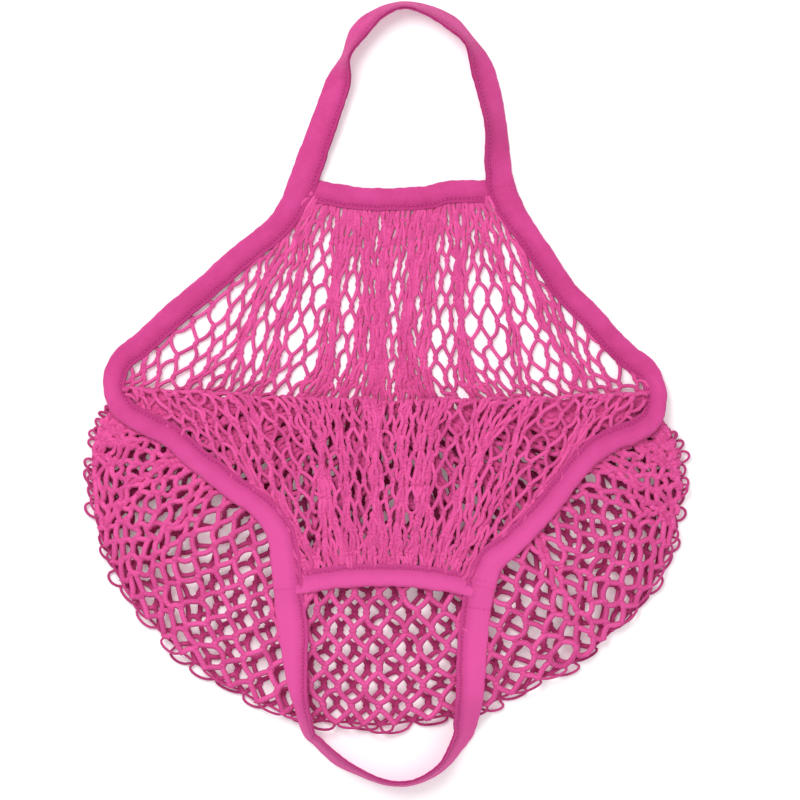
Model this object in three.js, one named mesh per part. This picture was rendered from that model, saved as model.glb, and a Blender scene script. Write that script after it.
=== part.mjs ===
// A string shopping bag as it lies on a table: the mouth is spread open, the back panel lies flat and the
// front panel is turned down over the pouch. +X is to the right, +Y towards the back handle, +Z up.
import * as THREE from "three";
import { mergeVertices } from "three/addons/utils/BufferGeometryUtils.js";

// Driving sizes, in millimetres
const pouchWidth = 423; // across the pouch at its widest
const pouchDepth = 233; // mouth line down to the pouch's lowest point
const backPanelRise = 147; // mouth line up to the top of the back band
const flapDrop = 133; // mouth line down to the lower edge of the front band
const backHandleReach = 131; // back band up to the crown of its handle
const frontHandleReach = 137; // front band down to the crown of its handle
const tapeWidth = 21; // folded tape of the handles and bindings, lying flat
const bandWidth = 16; // folded tape along the top of each panel
const handleThickness = 2.4; // the tape where it is doubled into a handle
const tapeSkin = 1.2; // one side of a folded binding or band
const netThickness = 2.5; // knotted string
const strandWidth = 9; // bundle of string between two gaps of the net
const hollowHeight = 8; // between the two walls of the pouch
const foldGap = 3; // between the pouch's front wall and the panel turned down over it
const rimWidth = 4; // string edge where the two walls of the pouch meet
const scallopDepth = 2.2; // how far the rim dips at each of its knots
const mouthSag = 7; // the mouth line hangs down this much in its middle
const netSeat = 8; // the net's edge goes this far into a binding or band
const seamAllowance = 4; // empty end of the slot beyond the net's edge
const clearance = 0.3; // between pieces that touch
const restGap = 0.7; // under a handle where it lies on the pouch
const edgeRounding = 0.6; // share of half a tape's thickness that its folded edges are rounded by
const weldDistance = 1e-3; // points closer than this are one point

// Counts of the net: half meshes across, and half meshes along each stretch of it
const columns = 14;
const backRows = 5;
const pouchRows = 7;
const foldRows = 3;
const flapRows = 4;
const stationsPerRow = 3; // sections of tape for each row of the tape table
const bandStations = 12; // sections along a band
const gatheredRows = 2; // half meshes beside each band where the net is drawn together, without gaps

// Heights of the middle of each layer
const bindingThickness = netThickness + 2 * (clearance + tapeSkin);
const backLevel = bindingThickness / 2;
const pouchBackLevel = netThickness / 2;
const pouchFrontLevel = netThickness * 1.5 + hollowHeight;
const pouchTop = pouchFrontLevel + netThickness / 2;
const flapLevel = pouchTop + foldGap + netThickness / 2;
const rimLevel = backLevel;
const tapeLevels = {
  floor: handleThickness / 2,
  back: backLevel,
  rising: THREE.MathUtils.lerp(backLevel, flapLevel, 0.25),
  half: THREE.MathUtils.lerp(backLevel, flapLevel, 0.5),
  high: THREE.MathUtils.lerp(backLevel, flapLevel, 0.75),
  front: flapLevel,
  pouch: pouchTop + restGap + handleThickness / 2,
  rim: rimLevel + restGap + handleThickness / 2,
};

// One long tape edges the whole bag. Each row is a section of it, anticlockwise from the right end of the
// back band: x is a share of half the pouch's width, y a share of the length that its piece reaches, level
// names the layer it lies on, width is a share of the tape's width, and tilt is its lean in degrees.
const tapeRows = [
  { piece: "back_handle", x: 0.378, y: 0.0, level: "back", width: 0.95, tilt: 0 },
  { piece: "back_handle", x: 0.365, y: 0.134, level: "floor", width: 0.95, tilt: 22 },
  { piece: "back_handle", x: 0.359, y: 0.321, level: "floor", width: 1, tilt: 44 },
  { piece: "back_handle", x: 0.339, y: 0.492, level: "floor", width: 1, tilt: 40 },
  { piece: "back_handle", x: 0.309, y: 0.663, level: "floor", width: 1, tilt: 42 },
  { piece: "back_handle", x: 0.273, y: 0.781, level: "floor", width: 1, tilt: 60 },
  { piece: "back_handle", x: 0.213, y: 0.882, level: "floor", width: 1, tilt: 65 },
  { piece: "back_handle", x: 0.134, y: 0.952, level: "floor", width: 1, tilt: 68 },
  { piece: "back_handle", x: 0.051, y: 0.979, level: "floor", width: 1, tilt: 70 },
  { piece: "back_handle", x: -0.028, y: 0.936, level: "floor", width: 1, tilt: 68 },
  { piece: "back_handle", x: -0.094, y: 0.84, level: "floor", width: 1, tilt: 65 },
  { piece: "back_handle", x: -0.137, y: 0.706, level: "floor", width: 1, tilt: 60 },
  { piece: "back_handle", x: -0.164, y: 0.567, level: "floor", width: 1, tilt: 32 },
  { piece: "back_handle", x: -0.197, y: 0.412, level: "floor", width: 1, tilt: 28 },
  { piece: "back_handle", x: -0.24, y: 0.219, level: "floor", width: 1, tilt: 20 },
  { piece: "left_binding", x: -0.286, y: 1.014, level: "back", width: 0.95, tilt: 0 },
  { piece: "left_binding", x: -0.329, y: 0.89, level: "back", width: 0.85, tilt: 0 },
  { piece: "left_binding", x: -0.382, y: 0.8, level: "back", width: 0.82, tilt: 0 },
  { piece: "left_binding", x: -0.494, y: 0.671, level: "back", width: 0.82, tilt: 0 },
  { piece: "left_binding", x: -0.597, y: 0.538, level: "back", width: 0.82, tilt: 0 },
  { piece: "left_binding", x: -0.706, y: 0.405, level: "back", width: 0.82, tilt: 0 },
  { piece: "left_binding", x: -0.808, y: 0.271, level: "back", width: 0.8, tilt: 0 },
  { piece: "left_binding", x: -0.871, y: 0.2, level: "back", width: 0.78, tilt: 0 },
  { piece: "left_binding", x: -0.898, y: 0.124, level: "rising", width: 0.76, tilt: 0 },
  { piece: "left_binding", x: -0.898, y: 0.038, level: "half", width: 0.75, tilt: 0 },
  { piece: "left_binding", x: -0.864, y: -0.053, level: "high", width: 0.76, tilt: 0 },
  { piece: "left_binding", x: -0.792, y: -0.121, level: "front", width: 0.78, tilt: 0 },
  { piece: "left_binding", x: -0.709, y: -0.189, level: "front", width: 0.8, tilt: 0 },
  { piece: "left_binding", x: -0.636, y: -0.295, level: "front", width: 0.8, tilt: 0 },
  { piece: "left_binding", x: -0.57, y: -0.374, level: "front", width: 0.82, tilt: 0 },
  { piece: "left_binding", x: -0.501, y: -0.463, level: "front", width: 0.82, tilt: 0 },
  { piece: "left_binding", x: -0.435, y: -0.532, level: "front", width: 0.84, tilt: 0 },
  { piece: "left_binding", x: -0.379, y: -0.621, level: "front", width: 0.88, tilt: 0 },
  { piece: "left_binding", x: -0.345, y: -0.737, level: "front", width: 0.94, tilt: 0 },
  { piece: "front_handle", x: -0.329, y: -0.061, level: "front", width: 1, tilt: 0 },
  { piece: "front_handle", x: -0.321, y: 0.08, level: "pouch", width: 1, tilt: 0 },
  { piece: "front_handle", x: -0.31, y: 0.2, level: "pouch", width: 1, tilt: 6 },
  { piece: "front_handle", x: -0.304, y: 0.34, level: "pouch", width: 0.86, tilt: 12 },
  { piece: "front_handle", x: -0.296, y: 0.474, level: "pouch", width: 0.7, tilt: 18 },
  { piece: "front_handle", x: -0.286, y: 0.561, level: "pouch", width: 0.6, tilt: 30 },
  { piece: "front_handle", x: -0.26, y: 0.719, level: "rim", width: 0.75, tilt: 60 },
  { piece: "front_handle", x: -0.23, y: 0.77, level: "floor", width: 0.88, tilt: 68 },
  { piece: "front_handle", x: -0.164, y: 0.862, level: "floor", width: 1, tilt: 68 },
  { piece: "front_handle", x: -0.091, y: 0.923, level: "floor", width: 1, tilt: 75 },
  { piece: "front_handle", x: -0.008, y: 0.974, level: "floor", width: 1, tilt: 78 },
  { piece: "front_handle", x: 0.068, y: 0.98, level: "floor", width: 1, tilt: 78 },
  { piece: "front_handle", x: 0.134, y: 0.944, level: "floor", width: 1, tilt: 76 },
  { piece: "front_handle", x: 0.187, y: 0.883, level: "floor", width: 1, tilt: 72 },
  { piece: "front_handle", x: 0.226, y: 0.796, level: "floor", width: 1, tilt: 62 },
  { piece: "front_handle", x: 0.25, y: 0.73, level: "floor", width: 1, tilt: 50 },
  { piece: "front_handle", x: 0.256, y: 0.684, level: "rim", width: 1, tilt: 40 },
  { piece: "front_handle", x: 0.269, y: 0.551, level: "pouch", width: 1, tilt: 25 },
  { piece: "front_handle", x: 0.274, y: 0.44, level: "pouch", width: 1, tilt: 16 },
  { piece: "front_handle", x: 0.279, y: 0.281, level: "pouch", width: 1, tilt: 0 },
  { piece: "front_handle", x: 0.291, y: 0.1, level: "pouch", width: 1, tilt: 0 },
  { piece: "right_binding", x: 0.309, y: -0.958, level: "front", width: 1, tilt: 0 },
  { piece: "right_binding", x: 0.34, y: -0.838, level: "front", width: 0.95, tilt: 0 },
  { piece: "right_binding", x: 0.405, y: -0.752, level: "front", width: 0.86, tilt: 0 },
  { piece: "right_binding", x: 0.464, y: -0.658, level: "front", width: 0.82, tilt: 0 },
  { piece: "right_binding", x: 0.517, y: -0.568, level: "front", width: 0.8, tilt: 0 },
  { piece: "right_binding", x: 0.574, y: -0.453, level: "front", width: 0.8, tilt: 0 },
  { piece: "right_binding", x: 0.623, y: -0.353, level: "front", width: 0.8, tilt: 0 },
  { piece: "right_binding", x: 0.679, y: -0.263, level: "front", width: 0.8, tilt: 0 },
  { piece: "right_binding", x: 0.745, y: -0.2, level: "front", width: 0.78, tilt: 0 },
  { piece: "right_binding", x: 0.815, y: -0.158, level: "front", width: 0.77, tilt: 0 },
  { piece: "right_binding", x: 0.868, y: -0.095, level: "high", width: 0.76, tilt: 0 },
  { piece: "right_binding", x: 0.884, y: 0.0, level: "half", width: 0.75, tilt: 0 },
  { piece: "right_binding", x: 0.878, y: 0.076, level: "rising", width: 0.75, tilt: 0 },
  { piece: "right_binding", x: 0.853, y: 0.145, level: "back", width: 0.77, tilt: 0 },
  { piece: "right_binding", x: 0.798, y: 0.205, level: "back", width: 0.79, tilt: 0 },
  { piece: "right_binding", x: 0.739, y: 0.286, level: "back", width: 0.8, tilt: 0 },
  { piece: "right_binding", x: 0.673, y: 0.395, level: "back", width: 0.8, tilt: 0 },
  { piece: "right_binding", x: 0.587, y: 0.519, level: "back", width: 0.8, tilt: 0 },
  { piece: "right_binding", x: 0.517, y: 0.671, level: "back", width: 0.8, tilt: 0 },
  { piece: "right_binding", x: 0.458, y: 0.795, level: "back", width: 0.82, tilt: 0 },
  { piece: "right_binding", x: 0.415, y: 0.886, level: "back", width: 0.88, tilt: 0 },
];

// The bands between their two ends, which the tape gives: shares as in the tape's rows
const backBandRows = [
  { x: 0.207, y: 0.99 },
  { x: 0.121, y: 0.962 },
  { x: -0.055, y: 0.955 },
  { x: -0.174, y: 0.976 },
];
const frontBandRows = [
  { x: -0.14, y: -0.921 },
  { x: 0.041, y: -0.916 },
  { x: 0.167, y: -0.937 },
];

// Rim of the pouch from the mouth's left corner round the bottom to its right corner: x is a share of half
// the pouch's width, y a share of its depth below the mouth line
const rimRows = [
  { x: -0.835, y: -0.03 },
  { x: -0.925, y: 0.03 },
  { x: -0.975, y: 0.1 },
  { x: -0.997, y: 0.21 },
  { x: -0.987, y: 0.345 },
  { x: -0.94, y: 0.486 },
  { x: -0.838, y: 0.649 },
  { x: -0.686, y: 0.787 },
  { x: -0.488, y: 0.91 },
  { x: -0.273, y: 0.985 },
  { x: -0.025, y: 1.0 },
  { x: 0.207, y: 0.979 },
  { x: 0.438, y: 0.901 },
  { x: 0.653, y: 0.799 },
  { x: 0.828, y: 0.655 },
  { x: 0.934, y: 0.505 },
  { x: 0.98, y: 0.345 },
  { x: 0.993, y: 0.234 },
  { x: 0.958, y: 0.114 },
  { x: 0.9, y: 0.042 },
  { x: 0.821, y: -0.006 },
];

// Where the net's side edges sit in the bindings: rows of the tape counted from the start of each binding,
// from band to mouth on the back panel and from mouth to band on the front one
const backSeats = { left: [2.0, 3.2, 4.4, 5.7], right: [19.0, 17.8, 16.6, 14.9] };
const frontSeats = { left: [11.9, 14.1, 16.4], right: [8.1, 5.6, 3.2] };
const bandSeatShare = 0.05; // the net's corners sit this far in from a band's ends
const frontBandOffset = 0.15; // rows of tape between a front junction and the middle of the band's end

const halfWidth = pouchWidth / 2;
const up = new THREE.Vector3(0, 0, 1);

function tapeY(piece, share) {
  if (piece === "back_handle") return backPanelRise + share * backHandleReach;
  if (piece === "front_handle") return -flapDrop - share * frontHandleReach;
  return share * (share > 0 ? backPanelRise : flapDrop);
}

const tapeCurve = new THREE.CatmullRomCurve3(
  tapeRows.map((row) => new THREE.Vector3(row.x * halfWidth, tapeY(row.piece, row.y), 0)),
  true,
  "catmullrom",
);

const firstRow = (piece) => tapeRows.findIndex((row) => row.piece === piece);
const rowCount = (piece) => tapeRows.filter((row) => row.piece === piece).length;
const leftOf = (along) => new THREE.Vector3(-along.y, along.x, 0).normalize();

// The section of the tape at a place counted in rows: middle, directions along and across, width and tilt
function tapeStation(place) {
  const t = THREE.MathUtils.euclideanModulo(place / tapeRows.length, 1);
  const before = tapeRows[Math.floor(t * tapeRows.length) % tapeRows.length];
  const after = tapeRows[(Math.floor(t * tapeRows.length) + 1) % tapeRows.length];
  const share = (t * tapeRows.length) % 1;
  const mix = (get) => THREE.MathUtils.lerp(get(before), get(after), share);
  const width = mix((row) => row.width) * tapeWidth;
  const tilt = THREE.MathUtils.degToRad(mix((row) => row.tilt));
  const middle = tapeCurve.getPoint(t);
  const lift = (Math.sin(tilt) * width - (1 - Math.cos(tilt)) * handleThickness) / 2;
  middle.z = mix((row) => tapeLevels[row.level]) + lift;
  const along = tapeCurve.getTangent(t).setZ(0).normalize();
  return { middle, along, across: leftOf(along), width, tilt };
}

// Outline of a folded tape that holds the net's edge in a slot, open towards the net
function channelSection(width) {
  const half = bindingThickness / 2;
  const slot = netThickness / 2 + clearance;
  const open = width / 2;
  const end = open - netSeat - seamAllowance;
  const chamfer = half * edgeRounding;
  return [
    [chamfer - open, -half],
    [open, -half],
    [open, -slot],
    [end, -slot],
    [end, slot],
    [open, slot],
    [open, half],
    [chamfer - open, half],
    [-open, half - chamfer],
    [-open, chamfer - half],
  ];
}

// Outline of the doubled tape of a handle, with soft edges
function handleSection(width) {
  const half = handleThickness / 2;
  const side = width / 2;
  const chamfer = half * edgeRounding;
  return [
    [chamfer - side, -half],
    [side - chamfer, -half],
    [side, chamfer - half],
    [side, half - chamfer],
    [side - chamfer, half],
    [chamfer - side, half],
    [-side, half - chamfer],
    [-side, chamfer - half],
  ];
}

function geometryOf(triangles) {
  const positions = triangles.flat().flatMap((point) => [point.x, point.y, point.z]);
  const loose = new THREE.BufferGeometry();
  loose.setAttribute("position", new THREE.Float32BufferAttribute(positions, 3));
  const geometry = mergeVertices(loose, weldDistance);
  geometry.computeVertexNormals();
  return geometry;
}

// Sweeps an outline through stations; an outline's first number is measured across, its second upwards
function sweep(stations, outlineOf) {
  const rings = stations.map(({ middle, across, width, tilt }) => {
    const side = across.clone().multiplyScalar(Math.cos(tilt)).addScaledVector(up, Math.sin(tilt));
    const face = across.clone().multiplyScalar(-Math.sin(tilt)).addScaledVector(up, Math.cos(tilt));
    return outlineOf(width).map(([s, f]) =>
      middle.clone().addScaledVector(side, s).addScaledVector(face, f),
    );
  });
  const triangles = [];
  for (let r = 0; r + 1 < rings.length; r++) {
    const [near, far] = [rings[r], rings[r + 1]];
    near.forEach((point, m) => {
      const n = (m + 1) % near.length;
      triangles.push([point, near[n], far[n]], [point, far[n], far[m]]);
    });
  }
  const outline = outlineOf(stations[0].width).map(([s, f]) => new THREE.Vector2(s, f));
  const last = rings[rings.length - 1];
  for (const [a, b, c] of THREE.ShapeUtils.triangulateShape(outline, [])) {
    triangles.push([last[a], last[b], last[c]], [rings[0][a], rings[0][c], rings[0][b]]);
  }
  return geometryOf(triangles);
}

// The stretch of tape that one piece takes, drawn back at both ends from its neighbours
function tapeGeometry(piece, outlineOf) {
  const first = firstRow(piece);
  const steps = rowCount(piece) * stationsPerRow;
  const stations = Array.from({ length: steps + 1 }, (_, n) => tapeStation(first + n / stationsPerRow));
  stations[0].middle.addScaledVector(stations[0].along, clearance / 2);
  stations[steps].middle.addScaledVector(stations[steps].along, -clearance / 2);
  return sweep(stations, outlineOf);
}

// A band runs from the tape's inner edge at one place to its inner edge at another, through its own rows
function bandOf(startPlace, endPlace, rows, level) {
  const ends = [startPlace, endPlace].map(tapeStation);
  const endPoints = ends.map(({ middle, across, width }) =>
    middle.clone().addScaledVector(across, width / 2 + clearance).setZ(0),
  );
  const between = rows.map((row) => new THREE.Vector3(row.x * halfWidth, tapeY("band", row.y), 0));
  const curve = new THREE.CatmullRomCurve3([endPoints[0], ...between, endPoints[1]]);
  return (share) => {
    const middle = curve.getPointAt(share).setZ(level);
    let across = leftOf(curve.getTangentAt(share));
    if (share === 0) across = ends[0].along.clone().negate();
    if (share === 1) across = ends[1].along.clone();
    return { middle, across, width: bandWidth, tilt: 0 };
  };
}

const backBand = bandOf(firstRow("back_handle"), firstRow("left_binding"), backBandRows, backLevel);
const frontBand = bandOf(
  firstRow("front_handle") + frontBandOffset,
  firstRow("right_binding") - frontBandOffset,
  frontBandRows,
  flapLevel,
);

function bandGeometry(band) {
  const stations = Array.from({ length: bandStations + 1 }, (_, n) => band(n / bandStations));
  return sweep(stations, channelSection);
}

// A point of the net's edge, a distance in from the open side of a band or binding
function seatIn({ middle, across, width }, depth) {
  return middle.clone().addScaledVector(across, width / 2 - depth).setZ(0);
}

// Fills the space inside four lists of points that share their corners with rows of points
function fillPatch(top, bottom, left, right) {
  const lastRow = left.length - 1;
  const lastColumn = top.length - 1;
  return left.map((_, r) =>
    top.map((_, c) => {
      if (r === 0) return top[c];
      if (r === lastRow) return bottom[c];
      if (c === 0) return left[r];
      if (c === lastColumn) return right[r];
      const u = c / lastColumn;
      const v = r / lastRow;
      return top[c].clone().multiplyScalar(1 - v).addScaledVector(bottom[c], v)
        .addScaledVector(left[r], 1 - u).addScaledVector(right[r], u)
        .addScaledVector(top[0], -(1 - u) * (1 - v)).addScaledVector(top[lastColumn], -u * (1 - v))
        .addScaledVector(bottom[0], -(1 - u) * v).addScaledVector(bottom[lastColumn], -u * v);
    }),
  );
}

// The pouch's rim in equal steps, dipping in at every other one, and the direction that faces out there
const rimCurve = new THREE.CatmullRomCurve3(
  rimRows.map((row) => new THREE.Vector3(row.x * halfWidth, -row.y * pouchDepth, 0)),
);
const rimSteps = 2 * pouchRows + columns;
const rim = Array.from({ length: rimSteps + 1 }, (_, n) => {
  const outward = leftOf(rimCurve.getTangentAt(n / rimSteps)).negate();
  const point = rimCurve.getPointAt(n / rimSteps);
  if (n % 2 === 1) point.addScaledVector(outward, -scallopDepth);
  return { point, outward };
});

// Rows of the net counted from the back band: down the back, round the rim, up the front, over and down
const mouthBack = backRows;
const rimRow = mouthBack + pouchRows;
const mouthFront = rimRow + pouchRows;
const flapTop = mouthFront + foldRows;
const flapEnd = flapTop + flapRows;

function netPlan() {
  const leftCorner = rim[0].point;
  const rightCorner = rim[rimSteps].point;
  const shares = Array.from({ length: columns + 1 }, (_, i) => i / columns);
  const mouth = shares.map((s) => {
    const point = leftCorner.clone().lerp(rightCorner, s);
    point.y -= mouthSag * Math.sin(Math.PI * s);
    return point;
  });
  const seatShare = (s) => THREE.MathUtils.lerp(bandSeatShare, 1 - bandSeatShare, s);
  const backTop = shares.map((s) => seatIn(backBand(seatShare(1 - s)), netSeat));
  const flapBottom = shares.map((s) => seatIn(frontBand(seatShare(s)), netSeat));
  const backSide = (side) =>
    backSeats[side].map((row) => seatIn(tapeStation(firstRow(side + "_binding") + row), netSeat));
  const flapSide = (side) =>
    frontSeats[side].map((row, n) => {
      const depth = n === 0 ? -clearance : netSeat;
      return seatIn(tapeStation(firstRow(side + "_binding") + row), depth);
    });
  const back = fillPatch(
    backTop,
    mouth,
    [backTop[0], ...backSide("left"), leftCorner],
    [backTop[columns], ...backSide("right"), rightCorner],
  );
  const pouch = fillPatch(
    mouth,
    rim.slice(pouchRows, pouchRows + columns + 1).map((r) => r.point),
    rim.slice(0, pouchRows + 1).map((r) => r.point),
    rim.slice(pouchRows + columns).reverse().map((r) => r.point),
  );
  const flap = fillPatch(
    mouth,
    flapBottom,
    [leftCorner, ...flapSide("left"), flapBottom[0]],
    [rightCorner, ...flapSide("right"), flapBottom[columns]],
  );
  return { back, pouch, flap };
}

// Number of the rim point that a place on the grid holds, or -1 inside the net
function rimPlace(i, k) {
  if (k < mouthBack || k > flapTop) return -1;
  const depth = k <= rimRow ? k - mouthBack : Math.max(mouthFront - k, 0);
  if (i === 0) return depth;
  if (i === columns) return rimSteps - depth;
  return k === rimRow ? pouchRows + i : -1;
}

// Both faces of the net at one place of the grid: out is the bag's outside, in its inside. The edge that
// stands upright on the rim turns flat at the mouth's corners, as it rises with the panel turned down.
function netPoint(plan, i, k) {
  const place = rimPlace(i, k);
  if (place >= 0) {
    const turn = Math.max(k - mouthFront, 0) / foldRows;
    const middle = rim[place].point.clone().setZ(THREE.MathUtils.lerp(rimLevel, tapeLevels.half, turn));
    const side = rim[place].outward.clone().multiplyScalar(Math.cos((Math.PI / 2) * turn));
    side.z = -Math.sin((Math.PI / 2) * turn);
    const reach = THREE.MathUtils.lerp(rimWidth, netThickness, turn) / 2;
    return {
      out: middle.clone().addScaledVector(side, reach),
      in: middle.clone().addScaledVector(side, -reach),
    };
  }
  const face = new THREE.Vector3(0, 0, 1);
  let middle;
  if (k <= mouthBack) {
    middle = plan.back[k][i].clone().setZ(backLevel);
  } else if (k < rimRow) {
    middle = plan.pouch[k - mouthBack][i].clone().setZ(pouchBackLevel);
  } else if (k < flapTop) {
    const turn = Math.max(k - mouthFront, 0) / foldRows;
    const radius = (flapLevel - pouchFrontLevel) / 2;
    face.set(0, Math.sin(Math.PI * turn), -Math.cos(Math.PI * turn));
    middle = plan.pouch[Math.max(mouthFront - k, 0)][i].clone().setZ(pouchFrontLevel + radius);
    middle.addScaledVector(face, radius);
  } else {
    middle = plan.flap[k - flapTop][i].clone().setZ(flapLevel);
  }
  return {
    out: middle.clone().addScaledVector(face, -netThickness / 2),
    in: middle.clone().addScaledVector(face, netThickness / 2),
  };
}

// A mesh is cut through unless it lies on the rim or the fold, or is drawn together beside a band
function isOpen(i, k) {
  const inPanel = k >= gatheredRows && k < rimRow;
  const inFront = k > rimRow && k < mouthFront;
  const inFlap = k > flapTop && k <= flapEnd - gatheredRows;
  return i > 0 && i < columns && (inPanel || inFront || inFlap);
}

// Share of a mesh that its hole takes, leaving half a strand on each of its four sides
function holeShare(corners) {
  const middle = centreOf(corners);
  const distances = corners.map((corner, n) => {
    const next = corners[(n + 1) % corners.length];
    const side = next.clone().sub(corner);
    return side.clone().cross(middle.clone().sub(corner)).length() / side.length();
  });
  return 1 - strandWidth / 2 / Math.min(...distances);
}

function centreOf(points) {
  const centre = new THREE.Vector3();
  points.forEach((point) => centre.addScaledVector(point, 1 / points.length));
  return centre;
}

function netGeometry() {
  const plan = netPlan();
  const grid = Array.from({ length: flapEnd + 1 }, (_, k) =>
    Array.from({ length: columns + 1 }, (_, i) => netPoint(plan, i, k)),
  );
  const triangles = [];
  const add = (a, b, c) => {
    const same = (p, q) => p.distanceTo(q) < weldDistance;
    if (!same(a, b) && !same(b, c) && !same(c, a)) triangles.push([a, b, c]);
  };
  const addWall = (p, q) => {
    add(p.in, q.in, q.out);
    add(p.in, q.out, p.out);
  };

  const addClosedMesh = (centre, corners) => {
    corners.forEach((corner, n) => {
      const next = corners[(n + 1) % corners.length];
      if (!corner || !next) return;
      add(centre.in, corner.in, next.in);
      add(centre.out, next.out, corner.out);
    });
  };

  const addOpenMesh = (corners) => {
    const share = holeShare(corners.map((corner) => corner.in));
    const centre = { in: centreOf(corners.map((p) => p.in)), out: centreOf(corners.map((p) => p.out)) };
    const hole = corners.map((corner) => ({
      in: centre.in.clone().lerp(corner.in, share),
      out: centre.out.clone().lerp(corner.out, share),
    }));
    corners.forEach((corner, n) => {
      const m = (n + 1) % corners.length;
      add(corner.in, corners[m].in, hole[m].in);
      add(corner.in, hole[m].in, hole[n].in);
      add(corners[m].out, corner.out, hole[n].out);
      add(corners[m].out, hole[n].out, hole[m].out);
      addWall(hole[n], hole[m]);
    });
  };

  for (let k = 0; k <= flapEnd; k++) {
    for (let i = 1 - (k % 2); i <= columns; i += 2) {
      const corners = [grid[k + 1]?.[i], grid[k][i + 1], grid[k - 1]?.[i], grid[k][i - 1]];
      if (isOpen(i, k)) addOpenMesh(corners);
      else addClosedMesh(grid[k][i], corners);
    }
  }

  // The free edge of the net, once round: back band, right side, front band, left side
  const across = Array.from({ length: columns + 1 }, (_, i) => i);
  const backEdge = Array.from({ length: mouthBack + 1 }, (_, k) => k);
  const flapEdge = Array.from({ length: foldRows + flapRows }, (_, n) => mouthFront + 1 + n);
  const edge = [
    ...across.map((i) => grid[0][i]),
    ...[...backEdge, ...flapEdge].map((k) => grid[k][columns]),
    ...across.toReversed().map((i) => grid[flapEnd][i]),
    ...[...backEdge, ...flapEdge].toReversed().map((k) => grid[k][0]),
  ];
  for (let n = 0; n + 1 < edge.length; n++) addWall(edge[n], edge[n + 1]);
  return geometryOf(triangles);
}

const netCotton = new THREE.MeshStandardMaterial({ color: 0xd23f86, roughness: 0.95, metalness: 0 });
const tapeCotton = new THREE.MeshStandardMaterial({ color: 0xe84f9d, roughness: 0.9, metalness: 0 });

function addPiece(bag, name, geometry, material) {
  const piece = new THREE.Mesh(geometry, material);
  piece.name = name;
  bag.add(piece);
}

const bag = new THREE.Group();
addPiece(bag, "net_body", netGeometry(), netCotton);
addPiece(bag, "back_band", bandGeometry(backBand), tapeCotton);
addPiece(bag, "front_band", bandGeometry(frontBand), tapeCotton);
addPiece(bag, "left_binding", tapeGeometry("left_binding", channelSection), tapeCotton);
addPiece(bag, "right_binding", tapeGeometry("right_binding", channelSection), tapeCotton);
addPiece(bag, "back_handle", tapeGeometry("back_handle", handleSection), tapeCotton);
addPiece(bag, "front_handle", tapeGeometry("front_handle", handleSection), tapeCotton);

// The origin is on the floor under the middle of the whole bag
const bounds = new THREE.Box3().setFromObject(bag);
const middle = bounds.getCenter(new THREE.Vector3());
bag.position.set(-middle.x, -middle.y, -bounds.min.z);

export default bag;
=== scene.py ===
# A string shopping bag of knotted cotton, laid flat on a white table with its mouth spread open: the back
# panel lies flat, the front panel is turned down over the pouch, and both handle loops lie free.
import math

import bpy
import numpy as np
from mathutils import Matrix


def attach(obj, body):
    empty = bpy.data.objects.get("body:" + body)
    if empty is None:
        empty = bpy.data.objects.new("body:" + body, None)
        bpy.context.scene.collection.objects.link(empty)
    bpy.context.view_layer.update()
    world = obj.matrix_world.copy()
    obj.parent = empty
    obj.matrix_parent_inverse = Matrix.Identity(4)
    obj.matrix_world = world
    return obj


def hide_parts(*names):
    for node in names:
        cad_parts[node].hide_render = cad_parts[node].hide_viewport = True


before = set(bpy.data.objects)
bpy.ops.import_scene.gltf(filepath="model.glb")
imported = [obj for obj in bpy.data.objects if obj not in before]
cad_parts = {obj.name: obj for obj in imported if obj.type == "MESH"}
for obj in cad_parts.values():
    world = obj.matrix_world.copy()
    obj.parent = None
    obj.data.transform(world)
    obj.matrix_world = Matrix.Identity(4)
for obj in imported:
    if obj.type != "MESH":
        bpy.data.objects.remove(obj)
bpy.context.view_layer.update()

# The table, the light and the camera. The bag lies on a matt white light table, faintly lit from below with a pink
# tint that is painted light bounced off the string into the shaded gaps, under two large diffusers, and is seen from
# straight above through a long lens.
MM = 0.001
VIEW_WIDTH = 0.560
CAMERA_HEIGHT = 2.4
VIEW_CENTRE = (0.0095, -0.0044)
TABLE_SIDE = 3.0
SENSOR = 36.0

scene = bpy.context.scene
scene.view_settings.view_transform = "Standard"

lens = bpy.data.cameras.new("camera")
lens.sensor_width = SENSOR
lens.lens = SENSOR * CAMERA_HEIGHT / VIEW_WIDTH
camera = bpy.data.objects.new("camera", lens)
camera.location = (*VIEW_CENTRE, CAMERA_HEIGHT)
scene.collection.objects.link(camera)
scene.camera = camera


def diffuser(name, place, side, watts):
    lamp = bpy.data.lights.new(name, "AREA")
    lamp.shape, lamp.size, lamp.energy = "DISK", side, watts
    stand = bpy.data.objects.new(name, lamp)
    stand.location = place
    away = -np.array(place)
    yaw = math.atan2(away[1], away[0]) - math.pi / 2
    stand.rotation_euler = (math.atan2(math.hypot(away[0], away[1]), -away[2]), 0, yaw)
    scene.collection.objects.link(stand)


diffuser("key_diffuser", (-0.55, 0.75, 1.5), 1.0, 19.5)
diffuser("fill_diffuser", (0.8, -0.5, 1.6), 1.4, 6.0)

sky = bpy.data.worlds.new("white_room")
sky.use_nodes = True
background = sky.node_tree.nodes["Background"]
background.inputs["Color"].default_value = (1.0, 1.0, 1.0, 1.0)
background.inputs["Strength"].default_value = 0.62
scene.world = sky


def new_material(name):
    material = bpy.data.materials.new(name)
    material.use_nodes = True
    return material, material.node_tree, material.node_tree.nodes["Principled BSDF"]


def set_inputs(tree, node, values):
    """Links each input to the socket given for it, or sets it to the value given."""
    for name, value in values.items():
        if isinstance(value, bpy.types.NodeSocket):
            tree.links.new(value, node.inputs[name])
        else:
            node.inputs[name].default_value = value


def add_node(tree, kind, values=None, **settings):
    node = tree.nodes.new(kind)
    for key, value in settings.items():
        setattr(node, key, value)
    set_inputs(tree, node, values or {})
    return node


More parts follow.
